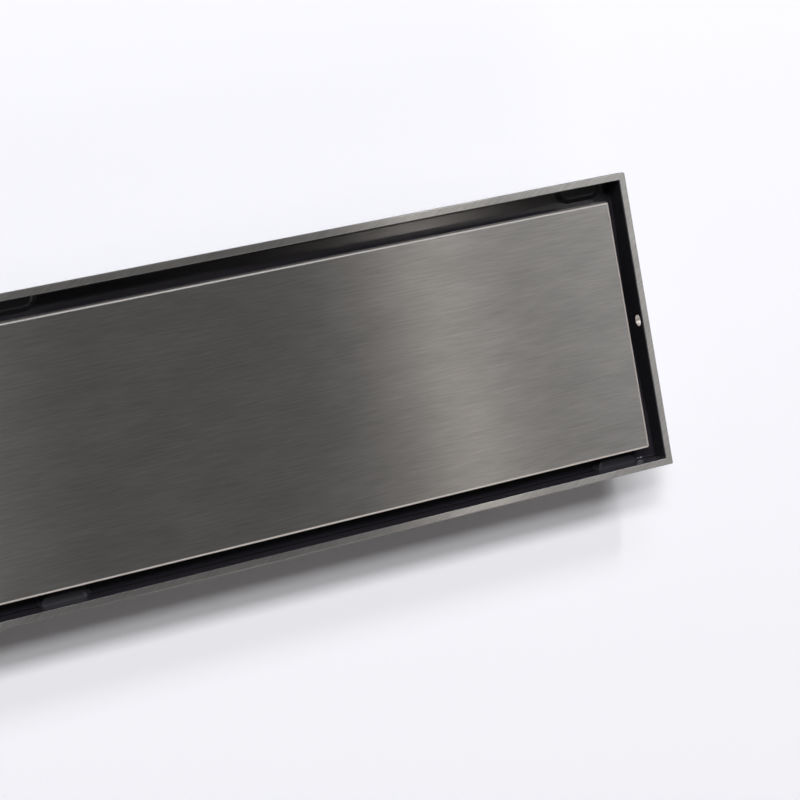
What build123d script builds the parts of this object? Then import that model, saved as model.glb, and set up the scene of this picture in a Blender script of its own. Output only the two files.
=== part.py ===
"""Tile insert floor drain: a long shallow steel channel with a reversible cover tray.

X runs along the drain, Y across it and Z up. The origin is at the middle of the outlet
spigot's lower end, on which the drain stands. All sizes are in millimetres.
"""
import math
import os

from build123d import *

# Channel and end caps, folded from one thickness of sheet
length = 600.0
width = 100.0
sheet = 1.2
hem_height = 6.5          # the rim is the sheet folded back on itself over this height
seat_depth = 9.0          # rim down to the ledges that carry the cover
ledge_width = 13.0
trough_fall = 4.0         # ledges down to the fold along the middle
bend_radius = 0.6         # inside radius of the fold at the foot of each wall
edge_break = 0.25
ground_corner = 0.8       # the weld at one corner of each end cap is ground round
hang_hole_diameter = 4.0
hang_hole_depth = 3.7     # rim down to the hole's middle

# Outlet under the middle of the channel
spigot_diameter = 50.0
spigot_wall = 1.5
spigot_length = 14.3
spigot_lead = 1.0
sump_diameter = 62.0      # flat round seat of the strainer
sump_drop = 1.5           # trough fold down to that seat
sump_flare = 2.0          # how far the flank leans out on its way up to the ledges

# Cover tray, loose in the channel
cover_sheet = 1.2
side_gap = 5.5
end_gap = 4.9
cover_shift = 0.6         # the loose cover lies this far towards the -Y wall
cover_bend = 1.0          # outside radius of its folds
cover_corner = 0.7
notch_length = 44.0       # weep notches along the skirt's lower edge
notch_height = 3.0
notch_radius = 1.5
notch_spacing = 64.0
side_notches = 9
end_notch_length = 52.0

# Locating lugs at the foot of the long walls
lug_pairs = 4
lug_length = 13.6         # along its top
lug_top_width = 3.0
lug_height = 2.5
lug_clearance = 0.9       # to the skirt of a centred cover
lug_end_distance = 13.3   # end cap to the middle of the first pair
lug_stagger = 1.6         # how far each lug of a pair stands from the pair's middle
lug_bevel = 0.4           # round the edge of that top

# Lift-out hair strainer
strainer_sheet = 0.8
strainer_edge = 2.0       # play of the flange in its seat
cup_play = 1.5            # play of the cup in the spigot
cup_depth = 11.0
cup_bevel = 1.6
floor_hole = 5.0
ring_radius = 11.0        # ring of holes in the cup's floor, round the one in the middle
ring_holes = 6
slot_width = 2.4
slot_height = 5.5
slot_pairs = 6            # opposed slots in the cup's wall
handle_strip = 1.2
handle_width = 5.0
handle_rise = 8.5
handle_bend = 5.0

# Places worked out from the sizes above
rim_width = 2 * sheet
inner_half = width / 2 - rim_width
channel_half = length / 2 - rim_width
sump_floor = spigot_length + sheet
fold_z = sump_floor + sump_drop
ledge_z = fold_z + trough_fall
rim_z = ledge_z + seat_depth
trough_half = inner_half - ledge_width
spigot_radius = spigot_diameter / 2
bore_radius = spigot_radius - spigot_wall
sump_radius = sump_diameter / 2
cover_length = 2 * (channel_half - end_gap)
cover_width = 2 * (inner_half - side_gap)
lug_width = side_gap - lug_clearance
lug_taper = math.degrees(math.atan2(lug_width - lug_top_width, lug_height))
lug_reach = channel_half - lug_end_distance
cup_radius = bore_radius - cup_play
flange_radius = sump_radius - strainer_edge
flange_top = sump_floor + strainer_sheet
cup_floor = flange_top - cup_depth
handle_foot = (cup_radius + flange_radius) / 2

# Outline of the space inside the channel, drawn past the rim so that it cuts clear
with BuildSketch() as hollow:
    with BuildLine():
        Polyline(
            (-inner_half, rim_z + seat_depth),
            (-inner_half, ledge_z),
            (-trough_half, ledge_z),
            (0, fold_z),
            (trough_half, ledge_z),
            (inner_half, ledge_z),
            (inner_half, rim_z + seat_depth),
            close=True,
        )
    make_face()
    wall_feet = [v for v in hollow.vertices() if abs(v.X) > trough_half + sheet and v.Y < rim_z]
    fillet(wall_feet, bend_radius)

# Outside of the channel's section, with the hems on the walls
with BuildSketch() as outline:
    add(hollow.sketch_local)
    offset(amount=sheet)
    with Locations((0, rim_z)):
        Rectangle(2 * width, 4 * seat_depth, align=(Align.CENTER, Align.MIN), mode=Mode.SUBTRACT)
    with Locations((0, rim_z)):
        Rectangle(width, hem_height, align=(Align.CENTER, Align.MAX))

# Outside of the sump, up to the level of the ledges
with BuildPart() as sump_form:
    with BuildSketch(Plane.XZ):
        with BuildLine():
            Polyline(
                (0, spigot_length),
                (sump_radius + sheet, spigot_length),
                (sump_radius + sheet + sump_flare, ledge_z),
                (0, ledge_z),
                close=True,
            )
        make_face()
    revolve(axis=Axis.Z)

with BuildPart() as channel:
    with BuildSketch(Plane.YZ.offset(-channel_half)):
        add(outline.sketch_local)
        add(hollow.sketch_local, mode=Mode.SUBTRACT)
    extrude(amount=2 * channel_half)
    add(sump_form.part, mode=Mode.SUBTRACT)
    fillet(channel.edges().filter_by(Axis.X).group_by(Axis.Z)[-1], edge_break)

# Pressed dish, trimmed to the slope of the trough and welded into the channel's round hole
with BuildPart() as outlet_sump:
    add(sump_form.part)
    with BuildSketch(Plane.YZ.offset(-channel_half)):
        add(hollow.sketch_local)
    extrude(amount=2 * channel_half, mode=Mode.SUBTRACT)
    with BuildSketch(Plane.XZ):
        with BuildLine():
            Polyline(
                (0, sump_floor),
                (sump_radius, sump_floor),
                (sump_radius + sump_flare, ledge_z),
                (0, ledge_z),
                close=True,
            )
        make_face()
    revolve(axis=Axis.Z, mode=Mode.SUBTRACT)
    with BuildSketch(Plane.XY.offset(spigot_length)):
        Circle(bore_radius)
    extrude(amount=sheet, mode=Mode.SUBTRACT)

# The inner layer closes the channel's section, and the outer one is the hem
with BuildPart() as end_cap_right:
    with BuildSketch(Plane.YZ.offset(channel_half)):
        add(outline.sketch_local)
    extrude(amount=sheet)
    with BuildSketch(Plane.YZ.offset(channel_half + sheet)):
        with Locations((0, rim_z)):
            Rectangle(width, hem_height, align=(Align.CENTER, Align.MAX))
    extrude(amount=sheet)
    with BuildSketch(Plane.YZ.offset(channel_half)):
        with Locations((0, rim_z - hang_hole_depth)):
            Circle(hang_hole_diameter / 2)
    extrude(amount=rim_width, mode=Mode.SUBTRACT)
    outer_corners = end_cap_right.edges().filter_by(Axis.Z).group_by(Axis.X)[-1].sort_by(Axis.Y)
    fillet(outer_corners[-1], ground_corner)
    outer_corners = end_cap_right.edges().filter_by(Axis.Z).group_by(Axis.X)[-1].sort_by(Axis.Y)
    fillet(outer_corners[0], edge_break)
    rim_edges = end_cap_right.faces().sort_by(Axis.Z)[-1].edges().sort_by(Axis.X)[1:]
    fillet(rim_edges, edge_break)
    # The inner edge is broken only between the long walls, so the rim's top runs on round the corner
    with BuildSketch(Plane.XZ.offset(-inner_half)):
        with BuildLine():
            Polyline(
                (channel_half, rim_z),
                (channel_half + edge_break, rim_z),
                (channel_half, rim_z - edge_break),
                close=True,
            )
        make_face()
    extrude(amount=2 * inner_half, mode=Mode.SUBTRACT)

with BuildPart() as end_cap_left:
    add(end_cap_right.part, rotation=(0, 0, 180))

with BuildPart() as outlet_spigot:
    with BuildSketch():
        Circle(spigot_radius)
        Circle(bore_radius, mode=Mode.SUBTRACT)
    extrude(amount=spigot_length)
    lower_rim = outlet_spigot.faces().sort_by(Axis.Z)[0].outer_wire().edges()
    chamfer(lower_rim, spigot_lead / 2, spigot_lead)

# Flat face up, skirt down on the ledges, with weep notches between its feet
with BuildPart() as cover_tray:
    with BuildSketch(Plane.XY.offset(ledge_z)):
        with Locations((0, -cover_shift)):
            Rectangle(cover_length, cover_width)
    extrude(amount=seat_depth)
    fillet(cover_tray.edges().filter_by(Axis.Z), cover_corner)
    fillet(cover_tray.faces().sort_by(Axis.Z)[-1].edges(), cover_bend)
    with BuildSketch(Plane.XY.offset(ledge_z)):
        with Locations((0, -cover_shift)):
            Rectangle(cover_length - 2 * cover_sheet, cover_width - 2 * cover_sheet)
    extrude(amount=seat_depth - cover_sheet, mode=Mode.SUBTRACT)
    with BuildSketch(Plane.XZ):
        with Locations((0, ledge_z)):
            with GridLocations(notch_spacing, 1, side_notches, 1):
                RectangleRounded(notch_length, 2 * notch_height, notch_radius)
    extrude(amount=width, both=True, mode=Mode.SUBTRACT)
    with BuildSketch(Plane.YZ):
        with Locations((-cover_shift, ledge_z)):
            RectangleRounded(end_notch_length, 2 * notch_height, notch_radius)
    extrude(amount=length, both=True, mode=Mode.SUBTRACT)

# Each lug is half of a tapered round-ended pad, cut off flat where it is welded to the wall
with BuildPart() as lug:
    with BuildSketch(Plane.XY.offset(ledge_z)):
        with Locations((0, inner_half)):
            SlotOverall(lug_length + 2 * (lug_width - lug_top_width), 2 * lug_width)
    extrude(amount=lug_height, taper=lug_taper)
    split(bisect_by=Plane.XZ.offset(-inner_half), keep=Keep.TOP)
    wall_foot = lug.edges().filter_by(Axis.X).group_by(Axis.Z)[0].sort_by(Axis.Y)[-1]
    chamfer(wall_foot, bend_radius)
    lug_top = lug.faces().sort_by(Axis.Z)[-1]
    chamfer(lug_top.edges().sort_by(Axis.Y)[:-1], lug_bevel)

with BuildPart() as hair_strainer:
    with BuildSketch(Plane.XZ):
        with BuildLine():
            Polyline(
                (0, cup_floor),
                (cup_radius, cup_floor),
                (cup_radius, sump_floor),
                (flange_radius, sump_floor),
                (flange_radius, flange_top),
                (cup_radius - strainer_sheet, flange_top),
                (cup_radius - strainer_sheet, cup_floor + strainer_sheet),
                (0, cup_floor + strainer_sheet),
                close=True,
            )
        make_face()
    revolve(axis=Axis.Z)
    cup_edges = hair_strainer.edges().filter_by(GeomType.CIRCLE)
    chamfer(cup_edges.group_by(Axis.Z)[0], cup_bevel)
    with BuildSketch(Plane.XY.offset(cup_floor)):
        Circle(floor_hole / 2)
        with PolarLocations(ring_radius, ring_holes):
            Circle(floor_hole / 2)
    extrude(amount=strainer_sheet, mode=Mode.SUBTRACT)
    for index in range(slot_pairs):
        slot_plane = Plane.XZ.rotated((0, 180 / slot_pairs * (index + 0.5), 0))
        with BuildSketch(slot_plane):
            with Locations((0, cup_floor + cup_depth / 2)):
                Rectangle(slot_width, slot_height)
        extrude(amount=cup_radius, both=True, mode=Mode.SUBTRACT)

# Folded strip whose two legs stand on the strainer's flange
with BuildPart() as strainer_handle:
    with BuildLine(Plane.XZ) as handle_path:
        FilletPolyline(
            (-handle_foot, flange_top),
            (-handle_foot, flange_top + handle_rise),
            (handle_foot, flange_top + handle_rise),
            (handle_foot, flange_top),
            radius=handle_bend,
        )
    with BuildSketch(Plane.XY.offset(flange_top)):
        with Locations((-handle_foot, 0)):
            Rectangle(handle_strip, handle_width)
    sweep(path=handle_path.line)

pieces = {
    "channel": channel.part,
    "end_cap_right": end_cap_right.part,
    "end_cap_left": end_cap_left.part,
    "outlet_sump": outlet_sump.part,
    "outlet_spigot": outlet_spigot.part,
    "cover_tray": cover_tray.part,
    "hair_strainer": hair_strainer.part,
    "strainer_handle": strainer_handle.part,
}

# The lugs stand in pairs, one at each wall, evenly spaced from end to end
lug_spacing = 2 * lug_reach / (lug_pairs - 1)
for pair in range(lug_pairs):
    pair_x = pair * lug_spacing - lug_reach
    for side, turn in enumerate((0, 180)):
        slip = -lug_stagger if turn else lug_stagger
        with BuildPart() as locating_lug:
            with Locations((pair_x + slip, 0)):
                add(lug.part, rotation=(0, 0, turn))
        pieces[f"locating_lug_{2 * pair + side + 1}"] = locating_lug.part

os.makedirs("parts", exist_ok=True)
for name, part in pieces.items():
    part.label = name
    export_step(part, f"parts/{name}.step")
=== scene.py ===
"""Looks of the tile insert floor drain: brushed gunmetal sheet, near-black painted shade inside the
channel and on the lugs, painted highlights on the cover's edges, and bare steel fittings.

Everything is in metres, in the drain's own frame: X along it, Y across it, Z up, with the
origin under the middle of the outlet, on the floor that it stands on.
"""
import math

import bpy
from mathutils import Matrix, Vector


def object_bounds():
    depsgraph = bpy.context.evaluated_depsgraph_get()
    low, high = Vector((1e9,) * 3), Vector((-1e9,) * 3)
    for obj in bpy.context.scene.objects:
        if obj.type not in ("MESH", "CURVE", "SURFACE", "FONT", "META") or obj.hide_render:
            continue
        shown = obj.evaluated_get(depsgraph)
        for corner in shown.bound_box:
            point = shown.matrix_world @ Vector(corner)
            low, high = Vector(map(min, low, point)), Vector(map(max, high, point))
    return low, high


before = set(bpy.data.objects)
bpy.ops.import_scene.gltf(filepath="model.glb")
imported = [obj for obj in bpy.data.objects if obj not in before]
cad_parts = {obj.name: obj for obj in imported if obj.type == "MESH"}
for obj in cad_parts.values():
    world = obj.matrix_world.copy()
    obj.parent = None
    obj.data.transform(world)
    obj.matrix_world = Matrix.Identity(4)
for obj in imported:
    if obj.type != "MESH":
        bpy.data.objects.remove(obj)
cad_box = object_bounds()

# Camera, above the drain and turned to its +X end
CAMERA_PLACE = Vector((0.0791, 0.0598, 0.525))
CAMERA_FORWARD = Vector((0.2528, -0.1314, -0.9586))
CAMERA_UP = Vector((0.2134, 0.9739, -0.0772))
LENS_MM = 72.0
SENSOR_MM = 36.0

# Floor
FLOOR_SIZE = 12.0
FLOOR_COLOUR = (0.838, 0.842, 0.89)
FLOOR_ROUGHNESS = 0.6

# Lights, aimed at the part of the drain that the camera sees
LIGHT_AIM = Vector((0.2, 0.0, 0.03))
LIGHT_REACH = 4.0
HIGH_ROW = 0.45         # slopes across the drain of the rows of lamps on the far side
LOW_ROW = 0.667
FAR_ROW = 1.2
LAMP_SIZE = (0.8, 0.5)
WIDE_SIZE = (2.2, 0.5)
WHITE = (1.0, 1.0, 1.0)
WARM = (1.0, 0.93, 0.87)

# Studio
STUDIO_COLOUR = (0.94, 0.97, 1.0)
WALL_LIGHT = 1.0
NEAR_WALL = 2.0         # how many times lighter the wall on the near side is
CEILING_LIGHT = 0.02
WALL_TOP = (0.35, 0.8)  # sines of the heights between which the walls fade into the ceiling

# Colours of the finishes
GUNMETAL = (0.207, 0.2, 0.193)
RIM_GUNMETAL = (0.268, 0.26, 0.25)
# Rounded edges of the cover, painted lighter as highlight lines: a little on the far edge, more on the
# near and end edges, which the lamps light less
PAINTED_FAR_HIGHLIGHT = (0.23, 0.218, 0.21)
PAINTED_EDGE_HIGHLIGHT = (0.4, 0.365, 0.345)
CUT_STEEL = (0.62, 0.58, 0.54)
BARE_STEEL = (0.52, 0.53, 0.55)
# Near-black painted shade on the lugs, which sit in the shaded slots beside the cover
LUG_PAINTED_SHADE = (0.026, 0.026, 0.032)
# Near-black painted shade inside the channel and its end caps, which lie in shade under the cover
INNER_PAINTED_SHADE = (0.024, 0.022, 0.028)

# Roughness of the finishes
BRUSHED_ROUGHNESS = 0.3
WORN_ROUGHNESS = 0.5    # edges of the cover and hanging holes
STEEL_ROUGHNESS = 0.35
LUG_ROUGHNESS = 0.45
INNER_ROUGHNESS = 0.16
END_ROUGHNESS = 0.4

# Patterns in the finishes: their sizes along X, Y and Z, and how far they change the colour
NOISE_RANGE = (0.3, 0.7)  # most of a noise's values lie in here
GRAIN_SIZE = (0.012, 0.0006, 0.0006)
UNEVEN_SIZE = (0.025, 0.01, 0.01)
UNEVEN_SHARE = 0.3
GRAIN_RANGE = (0.35, 0.65)
GRAIN_SPREAD = 0.17
RIM_SPREAD = 0.2
RIM_TURN = math.radians(35.0)
GRAIN_DEPTH = 2e-6
BRUSHED_ANISOTROPY = 1.0
CLOUD_SIZE = (0.012, 0.008, 0.008)
CLOUD_SPREAD = 0.08
SPECKLE_SIZE = (0.0008, 0.0008, 0.0008)
SPECKLE_DEPTH = 1e-6
COAT_SIZE = (0.03, 0.004, 0.004)
COAT_SPREAD = 0.2
LEDGE_FALL = 0.12       # how steeply the ledges seem to fall to the trough

# Where the finishes change
RIM_HEIGHT = cad_box[1][2]
RIM_EDGE = 0.0004       # the rim's top reaches down this far
TROUGH_HALF = 0.0346    # the ledges start this far from the middle
EDGE_DEPTH = 0.001      # the cover's rounded edge reaches down this far
FOLD_SLOPES = (0.5, 0.99)  # and the Z of its normals lies between these
HOLE_DEPTH = 0.0037     # rim down to the middle of a hanging hole
HOLE_REACH = 0.00215    # just over the radius of the hole
LEVEL = 0.9             # the normal of a level face has more than this of Z
FACING = 0.5            # the normal of a face that faces along an axis has more than this of it

END_NODES = ("end_cap_right", "end_cap_left")
LUG_NODES = [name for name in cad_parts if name.startswith("locating_lug")]
FITTING_NODES = ("outlet_sump", "outlet_spigot", "hair_strainer", "strainer_handle")


# Shader helpers

def new_material(name):
    """A material with only an output and a Principled shader in it, its node tree and that shader."""
    material = bpy.data.materials.new(name)
    material.use_nodes = True
    tree = material.node_tree
    return material, tree, tree.nodes["Principled BSDF"]


def noise(tree, size, turn=0.0, detail=3.0, roughness=0.6):
    """Noise whose features measure about `size` along X, Y and Z, turned about Z."""
    place = tree.nodes.new("ShaderNodeTexCoord").outputs["Object"]
    mapping = tree.nodes.new("ShaderNodeMapping")
    mapping.vector_type = "TEXTURE"
    mapping.inputs["Scale"].default_value = size
    mapping.inputs["Rotation"].default_value = (0.0, 0.0, turn)
    tree.links.new(place, mapping.inputs["Vector"])
    node = tree.nodes.new("ShaderNodeTexNoise")
    node.inputs["Scale"].default_value = 1.0
    node.inputs["Detail"].default_value = detail
    node.inputs["Roughness"].default_value = roughness
    tree.links.new(mapping.outputs["Vector"], node.inputs["Vector"])
    return node.outputs["Fac"]


def remap(tree, value, from_range, to_range):
    """Value moved from one range to another, and kept inside it."""
    node = tree.nodes.new("ShaderNodeMapRange")
    node.inputs["From Min"].default_value, node.inputs["From Max"].default_value = from_range
    node.inputs["To Min"].default_value, node.inputs["To Max"].default_value = to_range
    tree.links.new(value, node.inputs["Value"])
    return node.outputs["Result"]


def blend(tree, first, second, share):
    """Two values mixed, the second with the share given."""
    node = tree.nodes.new("ShaderNodeMix")
    node.inputs["Factor"].default_value = share
    tree.links.new(first, node.inputs["A"])
    tree.links.new(second, node.inputs["B"])
    return node.outputs["Result"]


def vary_colour(tree, shader, value, from_range, colour, spread):
    """Colour up to `spread` darker or lighter as the value goes through its range."""
    node = tree.nodes.new("ShaderNodeMix")
    node.data_type = "RGBA"
    node.inputs["A"].default_value = (*(part * (1.0 - spread) for part in colour), 1.0)
    node.inputs["B"].default_value = (*(part * (1.0 + spread) for part in colour), 1.0)
    tree.links.new(remap(tree, value, from_range, (0.0, 1.0)), node.inputs["Factor"])
    tree.links.new(node.outputs["Result"], shader.inputs["Base Color"])


def vary_roughness(tree, shader, value, middle, spread):
    """Roughness up to `spread` under or over the middle as a noise goes through its range."""
    roughness = remap(tree, value, NOISE_RANGE, (middle - spread, middle + spread))
    tree.links.new(roughness, shader.inputs["Roughness"])


def bump(tree, shader, height, distance):
    """Surface lit as if the height, times the distance, stood out from it."""
    node = tree.nodes.new("ShaderNodeBump")
    node.inputs["Distance"].default_value = distance
    tree.links.new(height, node.inputs["Height"])
    tree.links.new(node.outputs["Normal"], shader.inputs["Normal"])


# Finishes

def brushed(name, colour, turn=0.0, spread=GRAIN_SPREAD):
    """Sheet brushed along X: fine scratches, and reflections drawn out across them.

    The scratches are turned from X by `turn` and make the colour up to `spread` lighter or darker.
    """
    material, tree, shader = new_material(name)
    fine = noise(tree, GRAIN_SIZE, turn, detail=6.0, roughness=0.7)
    uneven = noise(tree, UNEVEN_SIZE, turn, detail=2.0)
    shader.inputs["Metallic"].default_value = 1.0
    shader.inputs["Anisotropic"].default_value = BRUSHED_ANISOTROPY
    vary_colour(tree, shader, blend(tree, fine, uneven, UNEVEN_SHARE), GRAIN_RANGE, colour, spread)
    vary_roughness(tree, shader, fine, BRUSHED_ROUGHNESS, spread=0.01)
    bump(tree, shader, fine, GRAIN_DEPTH)
    tangent = tree.nodes.new("ShaderNodeTangent")
    tangent.direction_type = "RADIAL"
    tangent.axis = "X"
    tree.links.new(tangent.outputs["Tangent"], shader.inputs["Tangent"])
    return material


def plain(name, colour, roughness):
    """Sheet as it came from the mill, slightly clouded and without a grain."""
    material, tree, shader = new_material(name)
    clouds = noise(tree, CLOUD_SIZE)
    speckle = noise(tree, SPECKLE_SIZE, detail=2.0)
    shader.inputs["Metallic"].default_value = 1.0
    vary_colour(tree, shader, clouds, NOISE_RANGE, colour, CLOUD_SPREAD)
    vary_roughness(tree, shader, clouds, roughness, spread=0.04)
    bump(tree, shader, speckle, SPECKLE_DEPTH)
    return material


def painted_shade(name, colour, roughness):
    """Painted shade: a near-black finish without a grain, its tone varying unevenly."""
    material, tree, shader = new_material(name)
    clouds = noise(tree, COAT_SIZE)
    vary_colour(tree, shader, clouds, NOISE_RANGE, colour, COAT_SPREAD)
    vary_roughness(tree, shader, clouds, roughness, spread=0.02)
    return material


def tilt_ledges(material):
    """Light the ledges as if they fell slightly to the trough."""
    tree = material.node_tree
    place = tree.nodes.new("ShaderNodeTexCoord").outputs["Object"]
    parts = tree.nodes.new("ShaderNodeSeparateXYZ")
    tree.links.new(place, parts.inputs["Vector"])
    across = tree.nodes.new("ShaderNodeMath")
    across.operation = "ABSOLUTE"
    tree.links.new(parts.outputs["Y"], across.inputs[0])
    height = tree.nodes.new("ShaderNodeMath")
    height.operation = "MAXIMUM"
    height.inputs[1].default_value = TROUGH_HALF
    tree.links.new(across.outputs["Value"], height.inputs[0])
    bump(tree, tree.nodes["Principled BSDF"], height.outputs["Value"], LEDGE_FALL)


def dress(names, materials, slot=None):
    """Give nodes their materials: the first everywhere, or the one that `slot` picks per face."""
    for name in names:
        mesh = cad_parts[name].data
        mesh.materials.clear()
        for material in materials:
            mesh.materials.append(material)
        for face in mesh.polygons:
            face.material_index = slot(face) if slot else 0


def cover_slot(face):
    """1 on the rounded upper edge on the far side, 2 on the other three, 0 elsewhere; 1 and 2 carry
    painted highlights, the far one dimmer.
    """
    near_top = face.center.z > RIM_HEIGHT - EDGE_DEPTH
    if not near_top or not FOLD_SLOPES[0] < face.normal.z < FOLD_SLOPES[1]:
        return 0
    return 1 if face.normal.y > abs(face.normal.x) else 2


def channel_slot(face):
    """1 on the top of the rim, 2 in the hanging holes, 3 inside the channel, where the near-black
    finish is painted shade; 0 elsewhere.
    """
    if face.center.z > RIM_HEIGHT - RIM_EDGE and face.normal.z > LEVEL:
        return 1
    from_hole = Vector((face.center.y, face.center.z - RIM_HEIGHT + HOLE_DEPTH))
    if from_hole.length < HOLE_REACH and abs(face.normal.x) < FACING:
        return 2
    outward = face.normal.x * face.center.x + face.normal.y * face.center.y
    return 3 if face.normal.z > FACING or outward < 0.0 else 0


gunmetal_brushed = brushed("brushed_gunmetal", GUNMETAL)
gunmetal_rim = brushed("rim_gunmetal", RIM_GUNMETAL, RIM_TURN, RIM_SPREAD)
painted_far_highlight = plain("painted_far_highlight", PAINTED_FAR_HIGHLIGHT, WORN_ROUGHNESS)
painted_edge_highlight = plain("painted_edge_highlight", PAINTED_EDGE_HIGHLIGHT, WORN_ROUGHNESS)
cut_steel = plain("cut_steel", CUT_STEEL, WORN_ROUGHNESS)
bare_steel = plain("bare_steel", BARE_STEEL, STEEL_ROUGHNESS)
lugs_painted_shade = painted_shade("lugs_painted_shade", LUG_PAINTED_SHADE, LUG_ROUGHNESS)
inside_painted_shade = painted_shade("inside_painted_shade", INNER_PAINTED_SHADE, INNER_ROUGHNESS)
tilt_ledges(inside_painted_shade)
ends_painted_shade = painted_shade("ends_painted_shade", INNER_PAINTED_SHADE, END_ROUGHNESS)
# The cover's rounded edges carry painted highlights
dress(["cover_tray"], [gunmetal_brushed, painted_far_highlight, painted_edge_highlight], cover_slot)
# Inside the channel and the end caps the near-black finish is painted shade
dress(["channel"], [gunmetal_brushed, gunmetal_rim, cut_steel, inside_painted_shade], channel_slot)
dress(END_NODES, [gunmetal_brushed, gunmetal_rim, cut_steel, ends_painted_shade], channel_slot)
# The lugs' near-black finish is painted shade
dress(LUG_NODES, [lugs_painted_shade])
dress(FITTING_NODES, [bare_steel])


# Floor

def floor_sheet():
    """A plain pale square under the drain."""
    half = FLOOR_SIZE / 2
    mesh = bpy.data.meshes.new("floor")
    corners = [(-half, -half, 0), (half, -half, 0), (half, half, 0), (-half, half, 0)]
    mesh.from_pydata(corners, [], [(0, 1, 2, 3)])
    floor = bpy.data.objects.new("floor", mesh)
    bpy.context.collection.objects.link(floor)
    material, _, shader = new_material("pale_floor")
    shader.inputs["Base Color"].default_value = (*FLOOR_COLOUR, 1.0)
    shader.inputs["Roughness"].default_value = FLOOR_ROUGHNESS
    mesh.materials.append(material)


floor_sheet()


# Lights

def softbox(name, slope_x, slope_y, size, radiance, colour=WHITE, mirrored=True):
    """A rectangular light of even brightness, up along the slopes given and turned to the drain.

    The first of its two sizes is along X. Glossy surfaces show it only where it is mirrored.
    """
    light = bpy.data.lights.new(name, "AREA")
    light.shape = "RECTANGLE"
    light.size, light.size_y = size
    light.color = colour
    light.energy = radiance * math.pi * size[0] * size[1]
    holder = bpy.data.objects.new(name, light)
    away = Vector((slope_x, slope_y, 1.0)).normalized()
    side = (Vector((1.0, 0.0, 0.0)) - away.x * away).normalized()
    turn = Matrix((side, away.cross(side), away)).transposed()
    holder.matrix_world = Matrix.Translation(LIGHT_AIM + LIGHT_REACH * away) @ turn.to_4x4()
    holder.visible_camera = False
    holder.visible_glossy = mirrored
    bpy.context.collection.objects.link(holder)


# Lamps in two rows on the far side, which make the floor bright and the near shadow two-stepped
softbox("high_left", slope_x=-0.3, slope_y=HIGH_ROW, size=LAMP_SIZE, radiance=22.0)
softbox("low_left", slope_x=-0.2, slope_y=LOW_ROW, size=LAMP_SIZE, radiance=30.0)
softbox("low_right", slope_x=0.63, slope_y=LOW_ROW, size=LAMP_SIZE, radiance=31.0)
# Wide panels in the same rows, turned off in the metal, which soften the ends of the shadow
softbox("high_wide", slope_x=0.07, slope_y=HIGH_ROW, size=WIDE_SIZE, radiance=6.5, mirrored=False)
softbox("low_wide", slope_x=0.07, slope_y=LOW_ROW, size=WIDE_SIZE, radiance=11.0, mirrored=False)
# Lamps that the brushed sheet shows as light bands across it
softbox("far_band", slope_x=0.5, slope_y=FAR_ROW, size=(0.2, 0.6), radiance=80.0)
softbox("far_glow", slope_x=0.08, slope_y=FAR_ROW, size=(1.0, 0.6), radiance=6.5)
softbox("near_band", slope_x=0.32, slope_y=-0.3, size=(0.06, 0.5), radiance=29.0, colour=WARM)
# Low panels, which show as light lines along the folded edges
softbox("near_panel", slope_x=0.94, slope_y=-3.1, size=(2.0, 2.0), radiance=2.2, colour=WARM)
softbox("end_panel", slope_x=2.5, slope_y=0.0, size=(0.6, 2.0), radiance=4.5, colour=WARM)


def studio():
    """Walls all round that fade into a darker ceiling. They light glossy surfaces but not matt ones."""
    world = bpy.data.worlds.new("studio")
    bpy.context.scene.world = world
    world.use_nodes = True
    tree = world.node_tree
    background = tree.nodes["Background"]
    background.inputs["Color"].default_value = (*STUDIO_COLOUR, 1.0)
    direction = tree.nodes.new("ShaderNodeTexCoord").outputs["Generated"]
    parts = tree.nodes.new("ShaderNodeSeparateXYZ")
    tree.links.new(direction, parts.inputs["Vector"])
    strength = remap(tree, parts.outputs["Z"], WALL_TOP, (WALL_LIGHT, CEILING_LIGHT))
    nearness = remap(tree, parts.outputs["Y"], (0.0, -1.0), (1.0, NEAR_WALL))
    product = tree.nodes.new("ShaderNodeMath")
    product.operation = "MULTIPLY"
    tree.links.new(strength, product.inputs[0])
    tree.links.new(nearness, product.inputs[1])
    tree.links.new(product.outputs["Value"], background.inputs["Strength"])
    world.cycles_visibility.diffuse = False


studio()
bpy.context.scene.view_settings.view_transform = "Standard"


# Camera

camera_data = bpy.data.cameras.new("camera")
camera_data.lens = LENS_MM
camera_data.sensor_width = SENSOR_MM
camera = bpy.data.objects.new("camera", camera_data)
right = CAMERA_FORWARD.cross(CAMERA_UP).normalized()
up = right.cross(CAMERA_FORWARD).normalized()
turn = Matrix((right, up, -CAMERA_FORWARD.normalized())).transposed()
camera.matrix_world = Matrix.Translation(CAMERA_PLACE) @ turn.to_4x4()
bpy.context.collection.objects.link(camera)
bpy.context.scene.camera = camera
